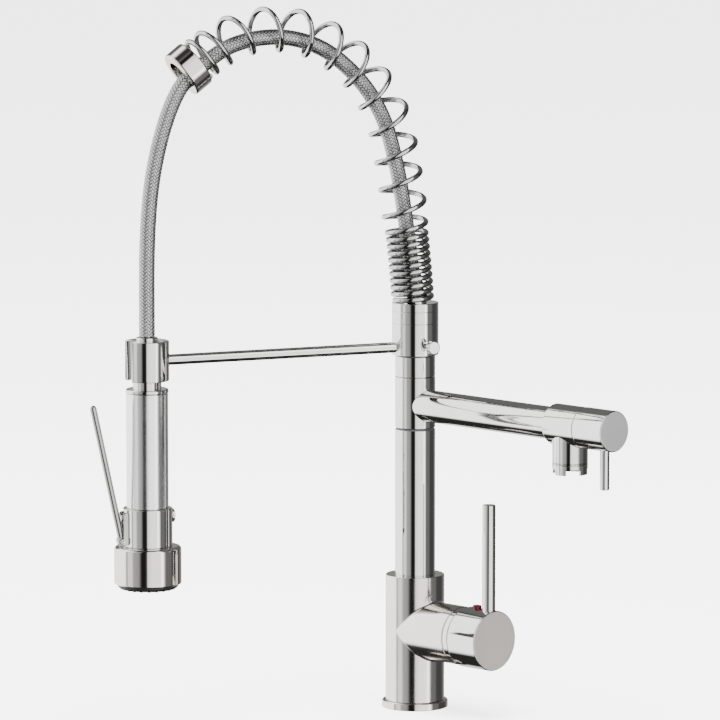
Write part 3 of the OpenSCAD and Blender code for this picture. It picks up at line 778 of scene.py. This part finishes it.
# aerator housing with the four key notches
def aerator():
    x0, zt, zn, zb = 158.5, SPOUT_Z - 28.1, SPOUT_Z - 31.5, SPOUT_Z - 35.5
    lobes = []
    half = math.asin(5.2 / 12.4)
    angles, low = [], []
    for k in range(4):
        c = math.radians(53 + 90 * k)
        gap = [c - half, c + half]
        solid = [c + half, c + math.pi / 2 - half]
        for f in np.linspace(0, 1, 14):
            angles.append(gap[0] + (gap[1] - gap[0]) * f)
            low.append(zn)
        for f in np.linspace(0, 1, 28):
            angles.append(solid[0] + (solid[1] - solid[0]) * f)
            low.append(zb)
    rows = []
    prof = lambda zl: [(9.6, zt + 4.7), (10.7, zt + 4.7), (10.7, zt), (12.8, zt), (13.1, zt - 0.3), (13.1, zl + 0.3), (12.85, zl), (11.4, zl), (11.2, zl + 0.2),
                       (11.2, zt - 2.9), (9.6, zt - 2.9)]
    for w, zl in zip(angles, low):
        row = []
        for r, z in prof(zl):
            row.append(((x0 + r * math.cos(w)) * MM, r * math.sin(w) * MM, z * MM))
        rows.append(row)
    n = len(rows[0])
    verts = [v for r in rows for v in r]
    faces = []
    for i in range(len(rows)):
        i2 = (i + 1) % len(rows)
        for j in range(n):
            k = (j + 1) % n
            q = (i * n + j, i * n + k, i2 * n + k, i2 * n + j)
            faces.append(q[::-1])
    import bmesh
    me = bpy.data.meshes.new("tmp")
    me.from_pydata(verts, [], faces)
    bm = bmesh.new()
    bm.from_mesh(me)
    bmesh.ops.remove_doubles(bm, verts=bm.verts, dist=1e-7)
    bmesh.ops.dissolve_degenerate(bm, dist=1e-7, edges=bm.edges)
    bmesh.ops.recalc_face_normals(bm, faces=bm.faces)
    v2 = [tuple(v.co) for v in bm.verts]
    f2 = [tuple(v.index for v in f.verts) for f in bm.faces]
    bm.free()
    bpy.data.meshes.remove(me)
    odd("aerator_ring", v2, f2, MAT["chrome"], "side_spout", ["aerator_housing"], angle=30)


aerator()
for n_ in ("aerator_insert",):
    o = frame["nodes"][n_]
    o.data.materials.clear()
    o.data.materials.append(MAT["dark_plastic"])

knob = lathe("knob_shell", [(0, 180.9), (12.5, 180.9), (12.5, KNOB_X0, 0.2), (KNOB_R, KNOB_X0, 0.45), (KNOB_R, SPOUT_END, 0.75), (0, SPOUT_END)],
      MAT["chrome"], "spout_tap", "chrome", ["spout_knob"], M=along_x(SPOUT_Z), segs=192)
face_finish(knob, MAT["face_cool"], SPOUT_END, KNOB_R - 0.7, SPOUT_Z)
lo, hi = mm("spout_knob_lever")
lathe("knob_lever_rod", [(0, lo[2]), (3.5, lo[2], 0.6), (3.5, hi[2] - 1), (0, hi[2] - 1)], MAT["chrome"], "spout_tap", "chrome", ["spout_knob_lever"],
      M=Matrix.Translation((0.193, 0, 0)), segs=72)

# ================================================================== swivel head and holder
HEAD = "swivel_head"
for name, node, r0, c0, c1 in (("arm_block_shell", "arm_block", 11.06, 0.5, 0.4), ("locking_ring_shell", "locking_ring", 13.7, 0.4, 0.4)):
    lo, hi = mm(node)
    lathe(name, tube_end(r0, 17.3, lo[2], hi[2], c0, c1), MAT["chrome"], HEAD, "chrome", [node], segs=192)
SEAT0 = mm("spring_seat")[0][2]
lathe("spring_seat_shell", [(6.4, SEAT0), (17.3, SEAT0, 0.4), (17.3, 305.3, 0.6), (8.6, 305.3), (8.6, 313, 0.5), (6.4, 313)], MAT["chrome"], HEAD, "chrome",
      ["spring_seat"], segs=192)
AX = ARM_M @ Matrix.Translation((0, 0, ARM_Z * MM)) @ Matrix.Rotation(math.pi / 2, 4, "Y")
lathe("holder_arm_rod", [(0, 13), (4, 13), (4, SPRAY_X - 13.5), (0, SPRAY_X - 13.5)], MAT["chrome"], HEAD, "chrome", ["holder_arm"], M=AX, segs=80)
SCREW = Matrix.Rotation(math.radians(-17), 4, "Z") @ along_x(274)
lathe("clamp_screw", [(0, 11.6), (2.95, 11.6), (2.95, 25.3), (5.0, 25.3, 0.5), (5.0, 30, 0.9), (0, 30)], MAT["chrome"], "clamp_screw", "chrome",
      ["arm_clamp_screw"], M=SCREW, segs=80)


def clip():
    z0, z1, ro, ri = 257.5, 287.0, 16.3, 10.8
    levels = []
    for k in range(7):
        a = math.pi / 2 * k / 6
        levels.append((z0 + 0.7 - 0.7 * math.cos(a), 0.7 * (1 - math.sin(a))))
    for f in np.linspace(0.05, 0.95, 9):
        levels.append((z0 + 0.7 + (z1 - z0 - 1.4) * f, 0))
    for k in range(7):
        a = math.pi / 2 * k / 6
        levels.append((z1 - 0.7 + 0.7 * math.sin(a), 0.7 * (1 - math.cos(a))))
    rows = []
    for z, c in levels:
        half = 6.4 + 1.2 * (z - z0) / (z1 - z0)
        o_, i_ = ro - c, ri + c * 0.5
        h = half + c * 0.5
        ao, ai = math.asin(h / o_), math.asin(h / i_)
        e = 0.35 / o_
        pts = []
        for w in np.linspace(ao + e, TAU - ao - e, 120):
            pts.append((o_ * math.cos(w), o_ * math.sin(w)))
        pts.append(((o_ - 0.3) * math.cos(TAU - ao + 0.0), -h))
        for w in np.linspace(TAU - ai, ai, 96):
            pts.append((i_ * math.cos(w), i_ * math.sin(w)))
        pts.append(((o_ - 0.3) * math.cos(ao), h))
        rows.append([SPRAY_M @ Vector((x * MM, y * MM, z * MM)) for x, y in pts])
    v, f = skin(rows)
    odd("c_clip", v, f, MAT["chrome"], HEAD, ["holder_clip"], angle=30)


clip()

# ================================================================== support spring
LINE = [[2.3, 305.3], [2.4, 311], [3.3, 323], [5.7, 347], [9, 375], [12, 396], [15.7, 418], [21.5, 442], [32, 463],
        [46, 481.3], [64, 496], [85, 507.1], [111, 512.2], [138, 509.6], [158, 500.9], [170, 493.1], [185.5, 481.5]]
TURNS = [2.1 + 5.2 * k for k in range(10)] + [54.5, 67, 88, 109, 132, 158, 182, 206, 230, 255, 280, 304, 319, 324.5]
AXIS = catmull(LINE, 16)
AXIS_S = lengths(AXIS)


def axis_at(s):
    return np.array([np.interp(s, AXIS_S, AXIS[:, 0]), np.interp(s, AXIS_S, AXIS[:, 1])])


def axis_dir(s):
    d = axis_at(s + 1.5) - axis_at(s - 1.5)
    return d / np.linalg.norm(d)


def ease(x):
    x = min(1, max(0, x))
    return x * x * (3 - 2 * x)


def spring():
    last = len(TURNS) - 1
    per = 40
    pts, out = [], []
    for i in range(per * last + 1):
        q = i / per
        k = min(int(q), last - 1)
        f = q - k
        a, b_, c, d = TURNS[max(k - 1, 0)], TURNS[k], TURNS[k + 1], TURNS[min(k + 2, last)]
        m0 = c - b_ if k == 0 else (c - a) / 2
        m1 = c - b_ if k == last - 1 else (d - b_) / 2
        s = b_ * (1 + 2 * f) * (1 - f) ** 2 + m0 * f * (1 - f) ** 2 + c * f * f * (3 - 2 * f) + m1 * f * f * (f - 1)
        p, t = axis_at(s), axis_dir(s)
        r = 14.3 + 1.3 * ease((s - 50) / 18) - 0.4 * ease((s - 145) / 60)
        w = TAU * q
        o_ = np.array([math.cos(w) * t[1], math.sin(w), -math.cos(w) * t[0]])
        pts.append(np.array([p[0], 0, p[1]]) + r * o_)
        out.append(o_)
    pts, out = np.array(pts), np.array(out)
    t = np.gradient(pts, axis=0)
    t /= np.linalg.norm(t, axis=1)[:, None]
    out -= t * (out * t).sum(1)[:, None]
    out /= np.linalg.norm(out, axis=1)[:, None]
    side = np.cross(t, out)
    n = 20
    w = np.arange(n) / n * TAU
    rad = np.full(len(pts), 2.0)
    P = pts[:, None] + rad[:, None, None] * (np.cos(w)[None, :, None] * out[:, None] + np.sin(w)[None, :, None] * side[:, None])
    rows = [[ARM_M @ Vector((x * MM, y * MM, z * MM)) for x, y, z in row] for row in P]
    # rounded ends
    for end, sign in ((0, -1), (-1, 1)):
        extra = []
        for k in range(1, 5):
            a = math.pi / 2 * k / 5
            ring_ = pts[end][None] + sign * t[end][None] * 0.7 * math.sin(a) + 2.0 * (0.65 + 0.35 * math.cos(a)) * (
                np.cos(w)[:, None] * out[end][None] + np.sin(w)[:, None] * side[end][None])
            extra.append([ARM_M @ Vector((x * MM, y * MM, z * MM)) for x, y, z in ring_])
        rows = extra[::-1] + rows if end == 0 else rows + extra
    v, f = skin(rows)
    return odd("spring_coil", v, f, MAT["spring"], None, ["support_spring"], angle=60)


the_spring = spring()
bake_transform(the_spring)

# end collar of the spring, with its small screw hole
c, t = axis_at(327.2), axis_dir(334)
COLLAR = ARM_M @ Matrix.Translation((c[0] * MM, 0, c[1] * MM)) @ Matrix.Rotation(math.atan2(t[0], t[1]), 4, "Y")
b = Builder()
b.lathe(tube_end(11.3, 18.2, 0, 15.3, 1.6, 1.6, 0.5), COLLAR, segs=160)
b.make("end_collar_shell", MAT["chrome_warm"], "spray_head", "chrome", ["spring_end_collar"])
GRUB = COLLAR @ Matrix.Translation((0, 0, 0.006)) @ Matrix.Rotation(math.radians(30), 4, "Z") @ Matrix.Rotation(math.pi / 2, 4, "Y")
lathe("collar_screw_seat", [(0, 17.7), (1.7, 17.7), (1.7, 18.22, 0.1), (1.0, 18.22, 0.1), (1.0, 18.05), (0, 18.05)], MAT["dark_plastic"], "spray_head", "steel",
      M=GRUB, segs=40)

# ================================================================== spray
SP = "spray_head"
lathe("hose_end_ferrule", [(5.0, 270), (8, 270), (8, 289.6, 0.8), (5.0, 289.6)], MAT["chrome"], SP, "chrome", ["upper_hose_ferrule"], M=SPRAY_M, segs=96)
lathe("spray_neck", [(8, 270), (5, 268), (5, 240), (7.9, 240), (7.9, 251.6), (10.45, 251.6), (10.45, 287, 0.6), (8, 287)], MAT["chrome"], SP, "chrome",
      ["spray_shank"], M=SPRAY_M, segs=128)
lathe("spray_ring", tube_end(7.95, 15.8, 248.35, 251.6, 1.2, 1.2), MAT["chrome"], SP, "chrome", ["spray_flange_ring"], M=SPRAY_M, segs=144)
lathe("grip_sleeve", tube_end(12.2, 15.4, 163.5, 248.3, 0.5, 0.5), MAT["satin"], SP, "satin_grip", ["spray_grip"], M=SPRAY_M, segs=144)

b = Builder()
b.lathe([(7, 122), (12, 122), (12, 135.15), (18.2, 135.15, 0.5), (18.2, 163.4, 0.6), (12.15, 163.4), (12.15, 160.5), (7, 158)], SPRAY_M, segs=160)
GUIDE = SPRAY_M @ Matrix.Translation((0, 0, 0.1565)) @ Matrix.Rotation(math.pi / 2, 4, "Y")
b.lathe([(2.55, 12), (4.2, 12), (4.2, 18.5, 0.4), (2.55, 18.5)], GUIDE, segs=64)
b.make("valve_block_shell", MAT["chrome"], SP, "chrome", ["spray_valve_block"])
# ears for the trigger, part of the block
rows_all_v, rows_all_f = [], []
for s_ in (-1, 1):
    rows = []
    for y, inset in ((3.0, 0.3), (3.3, 0.0), (5.3, 0.0), (5.6, 0.3)):
        pts = []
        rr = 2.75 - inset
        for a in np.linspace(-math.pi / 2, math.pi * 0.47, 25):
            pts.append((20.2 + rr * math.cos(a), 139.5 + rr * math.sin(a)))
        for a in np.linspace(0, math.pi / 2, 10):
            pts.append((18.6 + (2.0 - inset) * math.cos(a), 159.0 + (2.0 - inset) * math.sin(a)))
        pts.append((15.0, 161.0 - inset))
        pts.append((15.0, 139.5 - rr))
        rows.append([SPRAY_M @ Vector((x * MM, s_ * y * MM, z * MM)) for x, z in pts])
    v, f = skin(rows, flip=(s_ > 0))
    k = len(rows_all_v)
    rows_all_v += v
    rows_all_f += [tuple(i + k for i in g) for g in f]
odd("trigger_ears", rows_all_v, rows_all_f, MAT["rod"], SP, angle=30)

CAP_M = SPRAY_M @ Matrix.Translation((0, 0, 0.1565)) @ Matrix.Rotation(-math.pi / 2, 4, "Y")
lathe("valve_cap_shell", [(0, 11), (3.95, 11), (3.95, 18.25), (5.2, 18.25, 0.2), (5.2, 20.2, 0.6), (2.4, 20.2, 0.1), (2.4, 19.5, 0.1), (0, 19.5)], MAT["chrome"], SP, "chrome",
      ["spray_valve_cap"], M=CAP_M, segs=72)
lathe("plunger_rod", [(0, -8), (2.5, -8), (2.5, 20.9, 0.8), (0, 20.9)], MAT["steel"], "plunger", "steel", ["valve_plunger"], M=GUIDE, segs=56)
PIN = SPRAY_M @ Matrix.Translation((0.0205, 0, 0.1395)) @ Matrix.Rotation(math.pi / 2, 4, "X")
lathe("hinge_pin", [(0, -6.2), (1.25, -6.2, 0.3), (1.25, 6.2, 0.3), (0, 6.2)], MAT["steel"], SP, "steel", ["trigger_pin"], M=PIN, segs=40)
TRIG = SPRAY_M @ Matrix.Translation((0.0205, 0, 0.1395)) @ Matrix.Rotation(math.radians(12.3), 4, "Y")
b = Builder()
b.lathe([(0, -3.3), (2.5, -3.3, 0.6), (2.5, 104.0, 2.45), (0, 104.0)], TRIG, segs=64, arc=12)
b.lathe([(1.3, -2.6), (3.3, -2.6, 0.4), (3.3, 2.6, 0.4), (1.3, 2.6)], PIN, segs=64)
b.make("trigger_rod", MAT["rod"], "trigger", "chrome", ["spray_trigger"])

BELL_R = 24.8
lathe("bell_shell", [(BELL_R - 2.2, 106.8, 0.3), (BELL_R, 106.8, 1.3), (BELL_R, 135.1, 2.6), (12.05, 135.1), (12.05, 122), (BELL_R - 2.2, 122, 1.0)], MAT["chrome_warm"], SP,
      "chrome", ["spray_bell"], M=SPRAY_M, segs=192)


def nozzle_face():
    b = Builder()
    r = 22.3
    lo, hi = mm("spray_nozzle_face")
    z0, z1 = lo[2], hi[2]
    b.lathe([(0, z0), (16.0, z0), (20.4, z0, 0.8), (r, z0 + 1.6, 1.2), (r, z1), (0, z1)], SPRAY_M, segs=160)
    for rr, count in ((6, 8), (12, 14), (18, 20)):
        for k in range(count):
            w = TAU * (k + 0.5 * (rr == 12)) / count
            M = SPRAY_M @ Matrix.Translation((rr * math.cos(w) * MM, rr * math.sin(w) * MM, (z0 - 0.7) * MM))
            b.lathe([(0, 0.45), (0.45, 0.45), (0.45, 0), (0.8, 0, 0.2), (1.15, 1.0), (0, 1.0)], M, segs=20, arc=3)
    b.make("nozzle_rubber", MAT["rubber"], SP, "rubber", ["spray_nozzle_face"])


nozzle_face()

# ================================================================== floor and light
floor_mesh = bpy.data.meshes.new("floor")
S = 9.0
floor_mesh.from_pydata([(-S, -S, 0), (S, -S, 0), (S, S, 0), (-S, S, 0)], [], [(0, 1, 2, 3)])
floor = bpy.data.objects.new("floor", floor_mesh)
bpy.context.scene.collection.objects.link(floor)
m, t_, p_ = new_material("pale_floor")
nz = noise(t_, 3.0, 2.0, 0.5, scaled_coords(t_, (1, 1, 1)))
fr = ramp(t_, nz.outputs["Fac"], [(0.3, grey(0.90)), (0.7, grey(0.92))])
t_.links.new(fr.outputs[0], p_.inputs["Base Color"])
p_.inputs["Roughness"].default_value = 0.7
p_.inputs["Specular IOR Level"].default_value = 0.2
p_.inputs["Emission Color"].default_value = (1, 1, 1, 1)
p_.inputs["Emission Strength"].default_value = 3.1
floor_mesh.materials.append(m)
floor.visible_glossy = False
floor.visible_diffuse = False


SHOWN = [0, .039, .098, .157, .235, .286, .345, .408, .478, .549, .616, .675, .725, .773, .812, .847, .882, .910, .933, .957, .976, 1.0]
LIGHT = [0, .0053, .0143, .0275, .0529, .0734, .1019, .1414, .1962, .2723, .3778, .5243, .7275, 1.01, 1.40, 1.944, 2.70, 3.743, 5.19, 7.21, 10.0, 16.0]


def lin(v):
    """Light that a polished surface has to reflect to be shown as bright as v."""
    return grey(float(np.interp(v * 0.93, SHOWN, LIGHT)) / 0.79)


world = bpy.data.worlds.new("studio")
bpy.context.scene.world = world
world.use_nodes = True
wt = world.node_tree
wt.nodes.clear()
w_out = wt.nodes.new("ShaderNodeOutputWorld")
bg = wt.nodes.new("ShaderNodeBackground")
wt.links.new(bg.outputs[0], w_out.inputs[0])
tc = wt.nodes.new("ShaderNodeTexCoord")


def wdot(v):
    n = wt.nodes.new("ShaderNodeVectorMath")
    n.operation = "DOT_PRODUCT"
    wt.links.new(tc.outputs["Generated"], n.inputs[0])
    n.inputs[1].default_value = v
    return n.outputs["Value"]


def wmath(op, a, b_=None, c_=None):
    n = wt.nodes.new("ShaderNodeMath")
    n.operation = op
    for i, x in enumerate((a, b_, c_)):
        if x is None:
            continue
        if isinstance(x, (int, float)):
            n.inputs[i].default_value = x
        else:
            wt.links.new(x, n.inputs[i])
    return n.outputs[0]


def wstep(x, lo_, hi_):
    n = wt.nodes.new("ShaderNodeMapRange")
    n.interpolation_type = "SMOOTHSTEP"
    wt.links.new(x, n.inputs[0])
    n.inputs[1].default_value = lo_
    n.inputs[2].default_value = hi_
    return n.outputs[0]


front = wdot((TOWARD.x / math.cos(ELEV), TOWARD.y / math.cos(ELEV), 0))
right = wdot(tuple(RIGHT))
up_ = wdot((0, 0, 1))
phi = wmath("ARCTAN2", right, front)
pos = wmath("MULTIPLY_ADD", phi, 1 / TAU, 0.5)
BANDS = [(-180, .74), (-150, .93), (-83, .93), (-76, .62), (-69, .85), (-55, .85), (-49, .70), (-31, .65), (-25, .48), (-20.5, .16), (-18, .10), (-8, .10),
         (-4, .22), (-1.5, .40), (2.5, .86), (20, .90), (45, .90), (54, .97), (59, .85), (65, .46), (86, .45), (96, .27), (124, .27), (139, .42), (160, .64), (180, .74)]
rp = ramp(wt, pos, [((a + 180) / 360, lin(v)) for a, v in BANDS])
el = wmath("ARCSINE", up_)
back = wstep(wmath("ABSOLUTE", phi), math.radians(130), math.radians(146))
backtop = wmath("MULTIPLY", back, wstep(el, math.radians(1), math.radians(13)))
top = wstep(el, math.radians(54), math.radians(66))
down = wstep(wmath("MULTIPLY", el, -1.0), math.radians(33), math.radians(42))


def wmix(f, a, b_):
    n = wt.nodes.new("ShaderNodeMix")
    n.data_type = "RGBA"
    wt.links.new(f, n.inputs[0])
    for x, i in ((a, 6), (b_, 7)):
        if isinstance(x, tuple):
            n.inputs[i].default_value = x
        else:
            wt.links.new(x, n.inputs[i])
    return n.outputs[2]


col = wmix(top, rp.outputs[0], lin(0.20))
col = wmix(backtop, col, lin(0.42))
col = wmix(down, col, lin(0.16))
lp = wt.nodes.new("ShaderNodeLightPath")
col = wmix(lp.outputs["Is Camera Ray"], col, grey(5.6))
col = wmix(lp.outputs["Is Diffuse Ray"], col, grey(0.9))
wt.links.new(col, bg.inputs[0])
bg.inputs[1].default_value = 1.0

lamp = bpy.data.lights.new("overhead", "AREA")
lamp.shape = "DISK"
lamp.size = 3.0
lamp.energy = 420
lamp_o = bpy.data.objects.new("overhead", lamp)
bpy.context.scene.collection.objects.link(lamp_o)
lamp_o.location = (0.4, -0.6, 3.2)
lamp_o.visible_glossy = False
